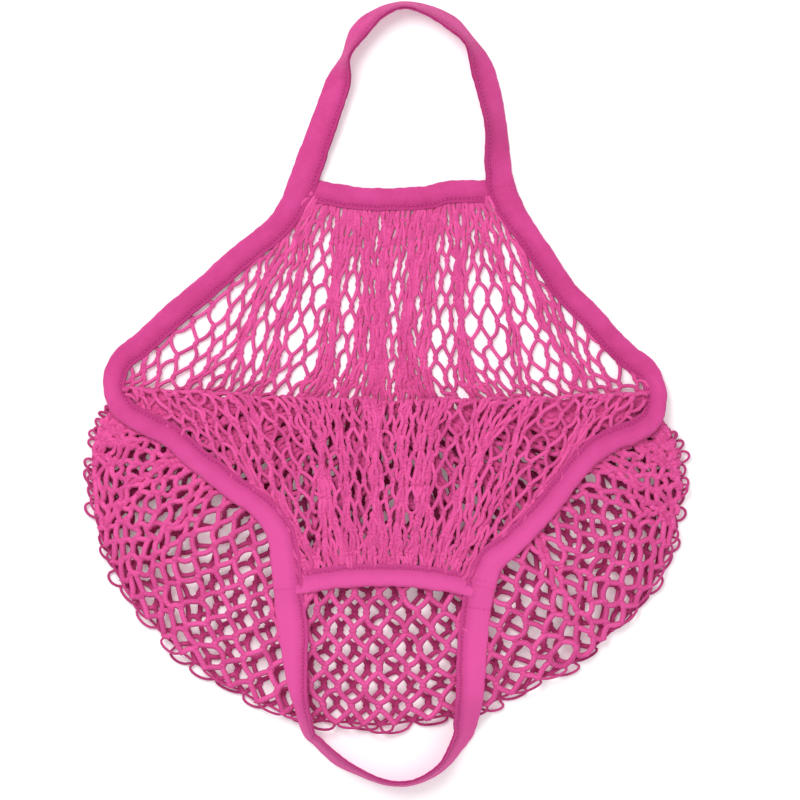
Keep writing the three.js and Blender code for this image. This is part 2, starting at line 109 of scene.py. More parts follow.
def add_math(tree, operation, first, second=0.0, third=0.0):
    node = add_node(tree, "ShaderNodeMath", {0: first, 1: second, 2: third}, operation=operation)
    return node.outputs[0]


def mix_colours(tree, share, first, second):
    node = add_node(tree, "ShaderNodeMix", {0: share, 6: first, 7: second}, data_type="RGBA")
    return node.outputs[2]


def grain(tree, scale, detail=4.0, roughness=0.6):
    """Soft noise that is fixed to its piece."""
    place = add_node(tree, "ShaderNodeTexCoord")
    noise = add_node(
        tree, "ShaderNodeTexNoise",
        {"Vector": place.outputs["Object"], "Scale": scale, "Detail": detail, "Roughness": roughness},
    )
    return noise.outputs[0]


def mesh_object(name, points, edges, faces):
    mesh = bpy.data.meshes.new(name)
    mesh.from_pydata(np.asarray(points).tolist(), edges, faces)
    piece = bpy.data.objects.new(name, mesh)
    scene.collection.objects.link(piece)
    return piece


glowing_white, tree, shader = new_material("white_table_with_painted_glow")
white_tone = mix_colours(tree, grain(tree, 40.0, 4.0, 0.5), (0.93, 0.93, 0.93, 1.0), (0.96, 0.96, 0.96, 1.0))
# the table's faint glow lightens the shade under the net; its pink tint is painted bounce light from the pink string
set_inputs(tree, shader, {
    "Base Color": white_tone, "Roughness": 0.9, "Emission Color": (1.0, 0.88, 0.94, 1.0),
    "Emission Strength": 0.14,
})
half_table = TABLE_SIDE / 2
table_corners = [(x * half_table, y * half_table, 0) for x, y in ((-1, -1), (1, -1), (1, 1), (-1, 1))]
table = mesh_object("table_top", table_corners, [], [(0, 1, 2, 3)])
table.data.materials.append(glowing_white)

# The edging tape: one long plain-woven cotton tape, folded lengthwise over the net's raw edge and sewn,
# that runs round the mouth and makes both handles, where it is folded on itself alone.
HALF_POUCH = 211.5
BACK_RISE = 147.0
FLAP_DROP = 133.0
BACK_REACH = 131.0
FRONT_REACH = 137.0
TAPE_WIDTH = 21.0
TAPE_SKIN = 1.1
HANDLE_THICKNESS = 2.4
BINDING_THICKNESS = 5.2
FLOOR_LEVEL = 1.25
BACK_LEVEL = 2.75
POUCH_LEVEL = 11.75
FLAP_LEVEL = 17.25
OVER_POUCH = 14.9
OVER_RIM = 4.65
LAY = np.array([0.77, -4.43, 0.0])
LEVELS = {
    "floor": FLOOR_LEVEL,
    "back": BACK_LEVEL,
    "rising": BACK_LEVEL + 0.25 * (FLAP_LEVEL - BACK_LEVEL),
    "half": BACK_LEVEL + 0.5 * (FLAP_LEVEL - BACK_LEVEL),
    "high": BACK_LEVEL + 0.75 * (FLAP_LEVEL - BACK_LEVEL),
    "front": FLAP_LEVEL,
    "pouch": OVER_POUCH,
    "rim": OVER_RIM,
}
# Sections of the tape, anticlockwise from the right end of the back band: x is a share of half the
# pouch's width and y of the stretch that its piece covers, then layer, share of the width, lean in degrees.
TAPE_ROWS = {
    "back_handle": [
        (0.378, 0.0, "back", 0.95, 0), (0.365, 0.134, "floor", 0.95, 22), (0.359, 0.321, "floor", 1, 44),
        (0.339, 0.492, "floor", 1, 40), (0.309, 0.663, "floor", 1, 42), (0.273, 0.781, "floor", 1, 67),
        (0.213, 0.882, "floor", 1, 60), (0.134, 0.952, "floor", 1, 67), (0.051, 0.979, "floor", 1, 74),
        (-0.028, 0.936, "floor", 1, 65), (-0.094, 0.84, "floor", 1, 53), (-0.137, 0.706, "floor", 0.96, 73),
        (-0.164, 0.567, "floor", 1, 32), (-0.197, 0.412, "floor", 1, 28), (-0.24, 0.219, "floor", 1, 20),
    ],
    "left_binding": [
        (-0.286, 1.014, "back", 0.95, 0), (-0.329, 0.89, "back", 0.85, 0), (-0.382, 0.8, "back", 0.82, 0),
        (-0.494, 0.671, "back", 0.82, 0), (-0.597, 0.538, "back", 0.82, 0), (-0.706, 0.405, "back", 0.82, 0),
        (-0.808, 0.271, "back", 0.8, 0), (-0.871, 0.2, "back", 0.78, 0), (-0.898, 0.124, "rising", 0.76, 0),
        (-0.898, 0.038, "half", 0.75, 0), (-0.864, -0.053, "high", 0.76, 0),
        (-0.792, -0.121, "front", 0.78, 0), (-0.709, -0.189, "front", 0.8, 0),
        (-0.636, -0.295, "front", 0.8, 0), (-0.57, -0.374, "front", 0.82, 0),
        (-0.501, -0.463, "front", 0.82, 0), (-0.435, -0.532, "front", 0.84, 0),
        (-0.379, -0.621, "front", 0.88, 0), (-0.345, -0.737, "front", 0.94, 0),
    ],
    "front_handle": [
        (-0.329, -0.061, "front", 1, 0), (-0.321, 0.08, "pouch", 1, 0), (-0.31, 0.2, "pouch", 1, 6),
        (-0.304, 0.34, "pouch", 0.86, 12), (-0.296, 0.474, "pouch", 0.7, 18),
        (-0.286, 0.561, "pouch", 0.6, 30), (-0.26, 0.719, "rim", 0.75, 60), (-0.23, 0.77, "floor", 0.88, 68),
        (-0.164, 0.862, "floor", 1, 68), (-0.091, 0.923, "floor", 1, 75), (-0.008, 0.974, "floor", 1, 78),
        (0.068, 0.98, "floor", 1, 78), (0.134, 0.944, "floor", 1, 76), (0.187, 0.883, "floor", 1, 72),
        (0.226, 0.796, "floor", 1, 62), (0.25, 0.73, "floor", 1, 50), (0.256, 0.684, "rim", 1, 40),
        (0.269, 0.551, "pouch", 1, 25), (0.274, 0.44, "pouch", 1, 16), (0.279, 0.281, "pouch", 1, 0),
        (0.291, 0.1, "pouch", 1, 0),
    ],
    "right_binding": [
        (0.309, -0.958, "front", 1, 0), (0.34, -0.838, "front", 0.95, 0), (0.405, -0.752, "front", 0.86, 0),
        (0.464, -0.658, "front", 0.82, 0), (0.517, -0.568, "front", 0.8, 0),
        (0.574, -0.453, "front", 0.8, 0), (0.623, -0.353, "front", 0.8, 0), (0.679, -0.263, "front", 0.8, 0),
        (0.745, -0.2, "front", 0.78, 0), (0.815, -0.158, "front", 0.77, 0), (0.868, -0.095, "high", 0.76, 0),
        (0.884, 0.0, "half", 0.75, 0), (0.878, 0.076, "rising", 0.75, 0), (0.853, 0.145, "back", 0.77, 0),
        (0.798, 0.205, "back", 0.79, 0), (0.739, 0.286, "back", 0.8, 0), (0.673, 0.395, "back", 0.8, 0),
        (0.587, 0.519, "back", 0.8, 0), (0.517, 0.671, "back", 0.8, 0), (0.458, 0.795, "back", 0.82, 0),
        (0.415, 0.886, "back", 0.88, 0),
    ],
}


def tape_y(piece, share):
    if piece == "back_handle":
        return BACK_RISE + share * BACK_REACH
    if piece == "front_handle":
        return -FLAP_DROP - share * FRONT_REACH
    return share * (BACK_RISE if share > 0 else FLAP_DROP)


first_row, tape_table = {}, []
for piece_name, piece_rows in TAPE_ROWS.items():
    first_row[piece_name] = len(tape_table)
    for x_share, y_share, layer, width_share, lean in piece_rows:
        tape_table.append((
            x_share * HALF_POUCH, tape_y(piece_name, y_share), LEVELS[layer],
            width_share * TAPE_WIDTH, math.radians(lean),
        ))
tape_table = np.array(tape_table)


def cubic(a, b, c, d, t):
    """The point at share t between b and c on the smooth curve through four points."""
    return 0.5 * (2 * b + (c - a) * t + (2 * a - 5 * b + 4 * c - d) * t**2 + (3 * b - a - 3 * c + d) * t**3)


def smooth_through(rows, places):
    """Points of the closed smooth curve through the rows, at places counted in rows, and its directions."""
    whole = np.floor(places).astype(int)
    t = (places - whole)[:, None]
    a, b, c, d = (rows[(whole + n) % len(rows)] for n in (-1, 0, 1, 2))
    slope = 0.5 * ((c - a) + 2 * (2 * a - 5 * b + 4 * c - d) * t + 3 * (3 * b - a - 3 * c + d) * t**2)
    return cubic(a, b, c, d, t), slope


def tape_sections(places):
    """Middle, width, and directions across and out of the face of the tape, at places in rows."""
    point, slope = smooth_through(tape_table, np.asarray(places, float))
    level, width, lean = point[:, 2:].T
    along = np.column_stack([slope[:, :2], np.zeros(len(places))])
    along /= np.linalg.norm(along, axis=1)[:, None]
    flat_across = np.column_stack([-along[:, 1], along[:, 0], np.zeros(len(places))])
    up = np.array([0.0, 0.0, 1.0])
    cosine, sine = np.cos(lean)[:, None], np.sin(lean)[:, None]
    lift = (np.sin(lean) * width - (1 - np.cos(lean)) * HANDLE_THICKNESS) / 2
    return {
        "middle": np.column_stack([point[:, :2], level + lift]) + LAY, "width": width, "flat_across": flat_across,
        "across": flat_across * cosine + up * sine, "face": -flat_across * sine + up * cosine,
    }


def ripple(position, wavelength, seed):
    """A smooth uneven wave between about -1 and 1."""
    turn = 2 * np.pi * np.asarray(position) / wavelength
    return (np.sin(turn + seed) + np.sin(turn * 0.618 + 2.3 * seed) + np.sin(turn * 1.755 + 3.7 * seed)) / 3


def lengths_along(points):
    return np.concatenate([[0], np.cumsum(np.linalg.norm(np.diff(points, axis=0), axis=1))])


def store(piece, name, kind, values, domain="POINT"):
    """Keeps one value for every point or edge of a piece's mesh."""
    piece.data.attributes.new(name, kind, domain).data.foreach_set("value", values)


# Steps round half the tape and round a lip, then how the sewing shapes the tape: dents, puckers and swells.
SECTION_STEPS = 14
LIP_STEPS = 4
SEAM_INSET = 3.0
SEAM_SPREAD = 1.1
SEAM_DIP = 0.14
PUCKER_WAVE = 5.5
PUCKER_REACH = 7.0
SWELL = 0.10
SWELL_WAVES = (31.0, 12.0)
EDGE_WAVES = ((0.35, 13.0), (0.25, 47.0))
GROOVE_SPREAD = 1.2
THREAD_HEIGHT = 0.15
sewn_lines = []


def folded_section(width, half, slot_half, slot_depth):
    """Outline of a tape folded over an edge, from its fold over the top to the open lips and back."""
    lip = (half - slot_half) / 2
    share = (1 - np.cos(np.linspace(0, np.pi, SECTION_STEPS))) / 2
    s = -width / 2 + share * (width - lip)
    nose = np.clip((half - (s + width / 2)) / half, 0, 1)
    top = half * np.sqrt(np.clip(1 - nose**2, 0, 1)) * (1 - 0.12 * np.abs(2 * s / width) ** 3)
    top[-1] = half
    turn = np.linspace(0, np.pi, LIP_STEPS + 1)[1:]
    lip_s = width / 2 - lip + lip * np.sin(turn)
    lip_f = (half + slot_half) / 2 + lip * np.cos(turn)
    slot_s, slot_f = [width / 2 - slot_depth], [slot_half]
    upper = np.column_stack([np.concatenate([s, lip_s, slot_s]), np.concatenate([top, lip_f, slot_f])])
    lower = upper[::-1] * (1, -1)
    return np.vstack([upper, lower[:-1]])


def sweep_tape(name, sections, thickness, slot, slot_depth, seed, material, pucker=0.25, groove=None):
    """Sweeps the folded outline along sections, puckered beside its seam, closed at both ends."""
    middle, width = sections["middle"], sections["width"]
    stations = len(middle)
    thickness, slot, slot_depth = (np.broadcast_to(size, stations) for size in (thickness, slot, slot_depth))
    travelled = lengths_along(middle)
    long_wave, short_wave = SWELL_WAVES
    (near_reach, near_wave), (far_reach, far_wave) = EDGE_WAVES
    rings, around, from_lips, seam = [], [], [], []
    for n in range(stations):
        half = thickness[n] / 2
        outline = folded_section(width[n], half, slot[n] / 2, slot_depth[n])
        s, f = outline.T
        side = np.sign(f)
        sewn = np.exp(-(((s - width[n] / 2 + SEAM_INSET) / SEAM_SPREAD) ** 2))
        near_lips = np.exp(-(((s - width[n] / 2) / PUCKER_REACH) ** 2))
        wave = ripple(travelled[n] + 0.4 * s, PUCKER_WAVE, seed) * near_lips
        swell = ripple(travelled[n] - 0.8 * s, long_wave, seed + 1)
        swell = swell + 0.7 * ripple(travelled[n] + 1.3 * s, short_wave, seed)
        outer = np.abs(f) > slot[n] / 2 + 0.05
        f = f + side * outer * (-SEAM_DIP * half * sewn + pucker * wave + SWELL * half * swell)
        if groove is not None:
            depth, place = groove
            f = f - outer * side * depth[n] * np.exp(-(((s + width[n] / 2 - place) / GROOVE_SPREAD) ** 2))
        from_lips.append(width[n] / 2 - s)
        wander = near_reach * ripple(travelled[n] + 20 * seed, near_wave, seed)
        s = s + (wander + far_reach * ripple(travelled[n], far_wave, seed)) * np.sign(s)
        rings.append(middle[n] + s[:, None] * sections["across"][n] + f[:, None] * sections["face"][n])
        around.append(lengths_along(outline))
        seam_s = width[n] / 2 - SEAM_INSET
        seam_f = np.interp(seam_s, s[:SECTION_STEPS], f[:SECTION_STEPS]) + THREAD_HEIGHT
        seam.append(middle[n] + seam_s * sections["across"][n] + seam_f * sections["face"][n])
    sewn_lines.append(np.array(seam))
    count = len(rings[0])
    points = np.concatenate(rings) * MM
    faces = []
    for r in range(stations - 1):
        for m in range(count):
            k = (m + 1) % count
            faces.append((r * count + m, (r + 1) * count + m, (r + 1) * count + k, r * count + k))
    faces.append(tuple(range(count)))
    faces.append(tuple(len(points) - 1 - m for m in range(count)))
    piece = mesh_object(name, points, [], faces)
    piece.data.materials.append(material)
    weave = piece.data.uv_layers.new(name="weave")
    for face in piece.data.polygons:
        seam_face = len(face.vertices) == 4 and {v % count for v in face.vertices} == {0, count - 1}
        for corner, v in zip(face.loop_indices, face.vertices):
            ring, m = divmod(v, count)
            across_mm = around[ring][m]
            if seam_face and m == 0:
                across_mm = around[ring][-1] + 0.5
            weave.data[corner].uv = (across_mm, travelled[ring])
    store(piece, "from_lips", "FLOAT", np.concatenate(from_lips))
    piece.data.shade_smooth()
    end_ring = len(points) - count
    crisp = [max(edge.vertices) < count or min(edge.vertices) >= end_ring for edge in piece.data.edges]
    store(piece, "sharp_edge", "BOOLEAN", crisp, "EDGE")
    return piece


# Cotton tape: a close plain weave in hot pink, a little paler towards the front of the bag, with painted shade
# along its seam, towards the net where the fold is thick and in its own shade, and between its threads and ribs.
THREAD_PITCH = 0.62
RIB_PITCH = 1.9
# the dark pink of painted shade, for the tape's seam, folds and weave and for the string's ply grooves
PAINTED_SHADE_PINK = (0.30, 0.008, 0.105, 1.0)
tape_cotton, tree, shader = new_material("hot_pink_tape_cotton")
tape_uv = add_node(tree, "ShaderNodeUVMap", uv_map="weave")
tape_axes = add_node(tree, "ShaderNodeSeparateXYZ", {0: tape_uv.outputs[0]})


def wave_of(tree, value, pitch):
    return add_math(tree, "SINE", add_math(tree, "MULTIPLY", value, 2 * math.pi / pitch))


def fade(tree, value, start, end):
    """1 at the start value, falling smoothly to 0 at the end value."""
    ramp = add_node(
        tree, "ShaderNodeMapRange", {"Value": value, 1: start, 2: end, 3: 1.0, 4: 0.0},
        interpolation_type="SMOOTHSTEP",
    )
    return ramp.outputs[0]


def relief(tree, height, strength, depth):
    bump = add_node(tree, "ShaderNodeBump", {"Height": height, "Strength": strength, "Distance": depth})
    return bump.outputs[0]


threads = add_math(
    tree, "MULTIPLY", wave_of(tree, tape_axes.outputs[0], THREAD_PITCH),
    wave_of(tree, tape_axes.outputs[1], THREAD_PITCH),
)
lips = add_node(tree, "ShaderNodeAttribute", attribute_name="from_lips").outputs["Fac"]
inner_zone = fade(tree, lips, 1.0, 11.0)
seam_shade = fade(tree, add_math(tree, "ABSOLUTE", add_math(tree, "SUBTRACT", lips, SEAM_INSET)), 0.2, 1.5)
ribs = add_math(tree, "MULTIPLY", wave_of(tree, tape_axes.outputs[1], RIB_PITCH), inner_zone)
tape_slub = grain(tree, 900.0, 2.0, 0.7)
tape_mottle = fade(tree, grain(tree, 48.0, 5.0), 0.32, 0.68)
tape_base = mix_colours(tree, tape_mottle, (0.66, 0.058, 0.280, 1.0), (0.56, 0.038, 0.212, 1.0))
# the tape turns paler towards the front of the bag, where y is low
tape_place = add_node(tree, "ShaderNodeTexCoord")
tape_ends = add_node(tree, "ShaderNodeSeparateXYZ", {0: tape_place.outputs["Object"]})
tape_base = mix_colours(tree, fade(tree, tape_ends.outputs[1], -0.13, 0.03), tape_base, (0.80, 0.088, 0.365, 1.0))
tape_speck = mix_colours(tree, add_math(tree, "MULTIPLY", tape_slub, 0.30), tape_base, (0.80, 0.155, 0.42, 1.0))
# painted shade: darker towards the lips, along the seam, and between the weave's threads and ribs
tape_painted_shade = add_math(
    tree, "ADD", add_math(tree, "MULTIPLY", inner_zone, 0.36), add_math(tree, "MULTIPLY", seam_shade, 0.26)
)
tape_painted_shade = add_math(tree, "ADD", tape_painted_shade, add_math(tree, "MULTIPLY_ADD", threads, 0.09, 0.09))
tape_painted_shade = add_math(tree, "MULTIPLY_ADD", ribs, 0.045, tape_painted_shade)
tape_height = add_math(tree, "ADD", add_math(tree, "MULTIPLY", threads, 0.5), tape_slub)
tape_height = add_math(tree, "MULTIPLY_ADD", ribs, -0.35, tape_height)
set_inputs(tree, shader, {
    "Base Color": mix_colours(tree, tape_painted_shade, tape_speck, PAINTED_SHADE_PINK),
    "Normal": relief(tree, tape_height, 0.55, 0.0003), "Roughness": 0.92, "Specular IOR Level": 0.15,
    "Sheen Weight": 0.25, "Sheen Roughness": 0.4, "Sheen Tint": (1.0, 0.62, 0.80, 1.0),
})

STATIONS_PER_ROW = 8
SLOT = 3.1
SLOT_DEPTH = 11.0
JOIN_THICKNESS = 3.6
JOIN_SLOT = 1.4
JOIN_DEPTH = 4.0
JOIN_ROWS = 1.3
HANDLE_SLOT = 0.3
HANDLE_SLOT_DEPTH = 2.0
TAPE_SEED = 4.0
# the right binding's roll: its rows, how far from the fold its groove lies, and how deep that is
ROLLED_ROWS = (12.5, 19.5)
ROLL_PLACE = 7.5
ROLL_DEPTH = 0.8


def tape_run(piece):
    first, count = first_row[piece], len(TAPE_ROWS[piece])
    return np.linspace(first, first + count, count * STATIONS_PER_ROW + 1)


def between_joins(run, join_size, own_size):
    """A size of the tape along a piece, eased at both ends to the size at which its neighbours meet it."""
    share = np.clip(np.minimum(run - run[0], run[-1] - run) / JOIN_ROWS, 0, 1)
    return join_size + (own_size - join_size) * share**2 * (3 - 2 * share)


TABLE_GAP = 0.05


def rest_on_table(piece):
    """Presses what would lie below the table flat against it."""
    places = np.empty(3 * len(piece.data.vertices))
    piece.data.vertices.foreach_get("co", places)
    places[2::3] = np.maximum(places[2::3], TABLE_GAP * MM)
    piece.data.vertices.foreach_set("co", places)
    piece.data.update()


def finish_tape(piece, node):
    rest_on_table(piece)
    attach(piece, "root")
    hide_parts(node)


for name in ("back_handle", "front_handle"):
    run = tape_run(name)
    handle = sweep_tape(
        name + "_tape", tape_sections(run), between_joins(run, JOIN_THICKNESS, HANDLE_THICKNESS),
        between_joins(run, JOIN_SLOT, HANDLE_SLOT), between_joins(run, JOIN_DEPTH, HANDLE_SLOT_DEPTH), TAPE_SEED,
        tape_cotton, pucker=0.2,
    )
    finish_tape(handle, name)

for name in ("left_binding", "right_binding"):
    run = tape_run(name)
    rolled = np.zeros(len(run))
    if name == "right_binding":
        inside = (run - first_row[name] - ROLLED_ROWS[0]) / (ROLLED_ROWS[1] - ROLLED_ROWS[0])
        rolled = ROLL_DEPTH * np.sin(np.pi * np.clip(inside, 0, 1)) ** 0.5
    binding = sweep_tape(
        name + "_tape", tape_sections(run), between_joins(run, JOIN_THICKNESS, BINDING_THICKNESS),
        between_joins(run, JOIN_SLOT, SLOT), between_joins(run, JOIN_DEPTH, SLOT_DEPTH), TAPE_SEED, tape_cotton,
        groove=(rolled, ROLL_PLACE),
    )
    finish_tape(binding, name)

# The two bands: shorter lengths of the same tape folded over the gathered top of each panel. Their ends
# are flattened, tucked into the edging tape and tied down with a bar of stitches.
BAND_WIDTH = 16.0
BAND_STATIONS = 110
BACK_BAND_ROWS = [(0.207, 0.99), (0.121, 0.962), (-0.055, 0.955), (-0.174, 0.976)]
FRONT_BAND_ROWS = [(-0.14, -0.921), (0.041, -0.916), (0.167, -0.937)]
BAND_TUCK = 6.0
TUCKED_THICKNESS = 2.0
TUCKED_SLOT = 1.0
TUCKED_SLOT_DEPTH = 2.0
FLAT_END = 4.0
BAND_EASE = 11.0
FRONT_BAND_INSET = 0.15


def smooth_open(points, count):
    """Evenly spaced points of a smooth open curve through the given ones."""
    points = np.asarray(points, float)
    padded = np.vstack([2 * points[0] - points[1], points, 2 * points[-1] - points[-2]])
    places = np.linspace(0, len(points) - 1, 40 * len(points))
    whole = np.minimum(places.astype(int), len(points) - 2)
    t = (places - whole)[:, None]
    a, b, c, d = (padded[whole + n] for n in range(4))
    fine = cubic(a, b, c, d, t)
    travelled = lengths_along(fine)
    wanted = np.linspace(0, travelled[-1], count)
    return np.column_stack([np.interp(wanted, travelled, fine[:, n]) for n in range(fine.shape[1])])


def band_sections(start_place, end_place, rows, level):
    ends = tape_sections([start_place, end_place])
    inner = ends["middle"] + ends["flat_across"] * (ends["width"] / 2 - BAND_TUCK)[:, None]
    between = [(x * HALF_POUCH + LAY[0], tape_y("band", y) + LAY[1]) for x, y in rows]
    plan = smooth_open(np.vstack([inner[:1, :2], between, inner[1:, :2]]), BAND_STATIONS)
    middle = np.column_stack([plan, np.full(len(plan), level)])
    along = np.gradient(middle, axis=0)
    along /= np.linalg.norm(along, axis=1)[:, None]
    across = np.column_stack([-along[:, 1], along[:, 0], np.zeros(len(along))])
    face = np.tile([0.0, 0.0, 1.0], (len(along), 1))
    return {"middle": middle, "width": np.full(len(plan), BAND_WIDTH), "across": across, "face": face}


back_band = band_sections(first_row["back_handle"], first_row["left_binding"], BACK_BAND_ROWS, BACK_LEVEL)
front_band = band_sections(
    first_row["front_handle"] + FRONT_BAND_INSET, first_row["right_binding"] - FRONT_BAND_INSET, FRONT_BAND_ROWS,
    FLAP_LEVEL,
)
for seed, (name, sections) in enumerate((("back_band", back_band), ("front_band", front_band))):
    band_travel = np.linalg.norm(np.diff(sections["middle"], axis=0), axis=1).sum()
    from_end = np.minimum(np.linspace(0, band_travel, BAND_STATIONS), np.linspace(band_travel, 0, BAND_STATIONS))
    ease = np.clip((from_end - FLAT_END) / BAND_EASE, 0, 1)
    ease = ease**2 * (3 - 2 * ease)
    band = sweep_tape(
        name + "_tape", sections, TUCKED_THICKNESS + (BINDING_THICKNESS - TUCKED_THICKNESS) * ease,
        TUCKED_SLOT + (SLOT - TUCKED_SLOT) * ease, TUCKED_SLOT_DEPTH + (SLOT_DEPTH - TUCKED_SLOT_DEPTH) * ease,
        7.0 + seed, tape_cotton, pucker=0.4,
    )
    finish_tape(band, name)

# The sewing: a row of thread stitches close to the open edge of every length of tape, and bars across it
# where the ends are joined.
STITCH_PITCH = 3.0
STITCH_LENGTH = 2.4
THREAD = 0.55
BAR_INSET = 2.0
TAPE_BAR_HEIGHT = JOIN_THICKNESS / 2 + 0.1
BAND_BAR_HEIGHT = 2.35
BAR_PLACES = [
    first_row["back_handle"] - 0.12, first_row["back_handle"] + 0.12, first_row["right_binding"] - 0.9,
    first_row["right_binding"] - 0.12, first_row["right_binding"] + 0.12, first_row["front_handle"] + 0.3,
    first_row["left_binding"] - 0.2,
]


def sewn_bar(sections, station, height):
    """A line across a tape at one of its stations, at a height over its middle."""
    half = sections["width"][station] / 2 - BAR_INSET
    reach = np.linspace(-half, half, 9)[:, None]
    return sections["middle"][station] + reach * sections["across"][station] + height * sections["face"][station]


sewn_lines += [sewn_bar(tape_sections([place]), 0, TAPE_BAR_HEIGHT) for place in BAR_PLACES]
for sections, station in ((front_band, -15), (front_band, 14), (back_band, 14)):
    sewn_lines.append(sewn_bar(sections, station, BAND_BAR_HEIGHT))

sewing_thread, tree, shader = new_material("hot_pink_sewing_thread")
set_inputs(tree, shader, {
    "Base Color": mix_colours(tree, grain(tree, 260.0), (0.52, 0.035, 0.200, 1.0), (0.78, 0.10, 0.36, 1.0)),
    "Normal": relief(tree, grain(tree, 1600.0, 2.0), 0.5, 0.0002), "Roughness": 0.7,
})


def new_tree(name, inputs):
    """A geometry tree that takes a geometry and the named sizes, with its input node."""
    tree = bpy.data.node_groups.new(name, "GeometryNodeTree")
    for label, kind in [("Geometry", "Geometry"), *inputs]:
        tree.interface.new_socket(label, in_out="INPUT", socket_type="NodeSocket" + kind)
    tree.interface.new_socket("Geometry", in_out="OUTPUT", socket_type="NodeSocketGeometry")
    return tree, tree.nodes.new("NodeGroupInput")


def end_tree(tree, shape, material):
    """Makes real geometry of what the tree has placed, smooth and in its material."""
    solid = add_node(tree, "GeometryNodeRealizeInstances", {"Geometry": shape})
    rounded = add_node(tree, "GeometryNodeSetShadeSmooth", {"Geometry": solid.outputs[0]})
    dressed = add_node(tree, "GeometryNodeSetMaterial", {"Geometry": rounded.outputs[0], "Material": material})
    result = tree.nodes.new("NodeGroupOutput")
    tree.links.new(dressed.outputs[0], result.inputs[0])


def apply_tree(piece, tree, values):
    """Runs a geometry tree on a piece and keeps its result as the piece's plain mesh."""
    modifier = piece.modifiers.new("made", "NODES")
    modifier.node_group = tree
    sockets = {
        item.name: item.identifier for item in tree.interface.items_tree
        if item.item_type == "SOCKET" and item.in_out == "INPUT"
    }
    for name, value in values.items():
        modifier[sockets[name]] = value
    view = bpy.context.evaluated_depsgraph_get()
    made = bpy.data.meshes.new_from_object(piece.evaluated_get(view), depsgraph=view)
    piece.modifiers.remove(modifier)
    made.name = piece.name
    piece.data = made


def line_mesh(name, lines, loose=()):
    """A mesh of open lines, given as lists of points in millimetres, and of loose points."""
    points, edges = [], []
    for line in lines:
        edges.extend((len(points) + n, len(points) + n + 1) for n in range(len(line) - 1))
        points.extend(line)
    points.extend(loose)
    return mesh_object(name, np.array(points) * MM, edges, [])


stitch_tree, stitch_sizes = new_tree(
    "sewn_row", [("Pitch", "Float"), ("Length", "Float"), ("Thickness", "Float"), ("Thread", "Material")]
)
stitch_lines = add_node(stitch_tree, "GeometryNodeMeshToCurve", {"Mesh": stitch_sizes.outputs[0]})
stitch_places = add_node(
    stitch_tree, "GeometryNodeResampleCurve",
    {"Curve": stitch_lines.outputs[0], "Length": stitch_sizes.outputs[1]}, mode="LENGTH",
)
stitch_grain = add_node(stitch_tree, "GeometryNodeMeshUVSphere", {"Segments": 6, "Rings": 4, "Radius": 0.5})
stitch_size = add_node(
    stitch_tree, "ShaderNodeCombineXYZ",
    {0: stitch_sizes.outputs[2], 1: stitch_sizes.outputs[3], 2: stitch_sizes.outputs[3]},
)
stitch_shape = add_node(
    stitch_tree, "GeometryNodeTransform", {"Geometry": stitch_grain.outputs[0], "Scale": stitch_size.outputs[0]}
)
stitch_way = add_node(stitch_tree, "GeometryNodeInputTangent")
stitch_turn = add_node(
    stitch_tree, "FunctionNodeAlignRotationToVector", {"Vector": stitch_way.outputs[0]}, axis="X"
)
stitches = add_node(
    stitch_tree, "GeometryNodeInstanceOnPoints",
    {"Points": stitch_places.outputs[0], "Instance": stitch_shape.outputs[0], "Rotation": stitch_turn.outputs[0]},
)
end_tree(stitch_tree, stitches.outputs[0], stitch_sizes.outputs[4])
sewing = line_mesh("tape_sewing", sewn_lines)
apply_tree(sewing, stitch_tree, {
    "Pitch": STITCH_PITCH * MM, "Length": STITCH_LENGTH * MM, "Thickness": THREAD * MM, "Thread": sewing_thread,
})
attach(sewing, "root")

# The net: one rectangle of knotted cotton string, its two short edges gathered under the bands and its
# long edges under the bindings. Halfway it turns round the pouch's bottom, and its front half is turned
# over at the mouth line and lies on the pouch.
MESHES_ACROSS = 62
POUCH_ROWS = 17
PANEL_ROWS = 10
SPARE_ROWS = 2
STRAND = 16.0
BINDING_SLANT = 0.75
SEAT = 5.0
MOUTH_SAG = 7.0
FOLD_RADIUS = (FLAP_LEVEL - POUCH_LEVEL) / 2
POUCH_DEPTH = 232.0
LOOP_ROOM = 6.0
RIM_LEVEL = 3.2
RIM_ROWS = [
    (-0.925, 0.03), (-0.975, 0.1), (-0.997, 0.21), (-0.987, 0.345), (-0.94, 0.486), (-0.838, 0.649),
    (-0.686, 0.787), (-0.488, 0.91), (-0.273, 0.985), (-0.025, 1.0), (0.207, 0.979), (0.438, 0.901),
    (0.653, 0.799), (0.828, 0.655), (0.934, 0.505), (0.98, 0.345), (0.993, 0.234), (0.958, 0.114),
    (0.9, 0.042),
]
# how far the meshes crowd to the middle of the rim and of each mouth edge, what share of them ends beside
# the band, how soon each part narrows, and the drifts of string in its gathers: wavelength, reach in columns
RIM_CROWDING = -0.8
BACK_CROWDING, FRONT_CROWDING = 0.64, 0.42
BAND_REACH = 0.1
BEYOND_BAND = 330.0
POUCH_WAIST, PANEL_WAIST = 1.6, 1.25
DRIFTS = ((7.3, 0.6), (11.4, 1.0), (19.0, 1.5))
CORNER_PLACES = {"left": first_row["left_binding"] + 9.0, "right": first_row["right_binding"] + 11.2}
HALF_COLUMNS = 2 * MESHES_ACROSS
HALF_ROWS = POUCH_ROWS + PANEL_ROWS + SPARE_ROWS
rng = np.random.default_rng(11)


def inner_edge(start_place, end_place, count=60):
    """The seam line of the net in the tape between two places, as plan points and heights."""
    sections = tape_sections(np.linspace(start_place, end_place, count))
    return sections["middle"] + sections["flat_across"] * (sections["width"] / 2 - SEAT)[:, None]


def band_edge(sections):
    return sections["middle"] + sections["across"] * (BAND_WIDTH / 2 - SEAT)


def share_of(curve, share):
    """Points at the given shares of a curve's length."""
    travelled = lengths_along(curve[:, :2])
    wanted = np.asarray(share) * travelled[-1]
    return np.stack([np.interp(wanted, travelled, curve[:, n]) for n in range(curve.shape[1])], axis=-1)


